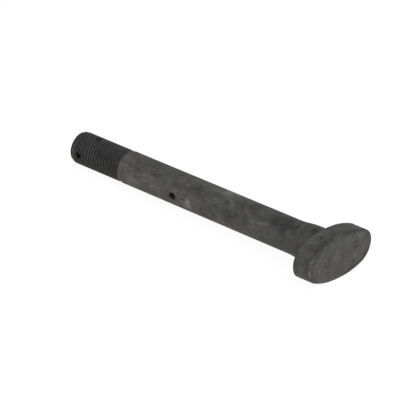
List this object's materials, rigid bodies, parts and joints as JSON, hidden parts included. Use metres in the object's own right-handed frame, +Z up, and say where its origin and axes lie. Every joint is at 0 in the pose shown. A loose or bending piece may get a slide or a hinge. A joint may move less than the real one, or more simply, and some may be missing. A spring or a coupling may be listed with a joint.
{
  "type": "t slot bolt",
  "caption": "Round-shanked steel bolt with an oval T head for a slot, a flared neck, a fine-threaded end, two crossed cotter pin holes in the thread and a cross hole in the shank.",
  "frame": {"origin": "centre of the bearing face under the head, on the bolt's axis", "axes": "+X along the shank towards the threaded tip, Y along the head's long axis, +Z up as the bolt lies on its side"},
  "size_m": [0.15, 0.05, 0.0226],
  "materials": {
    "black_steel": "dark grey-black heat-treatment scale, matt, faintly mottled"
  },
  "bodies": {
    "root": {"t_slot_bolt": "black_steel"}
  },
  "joints": []
}
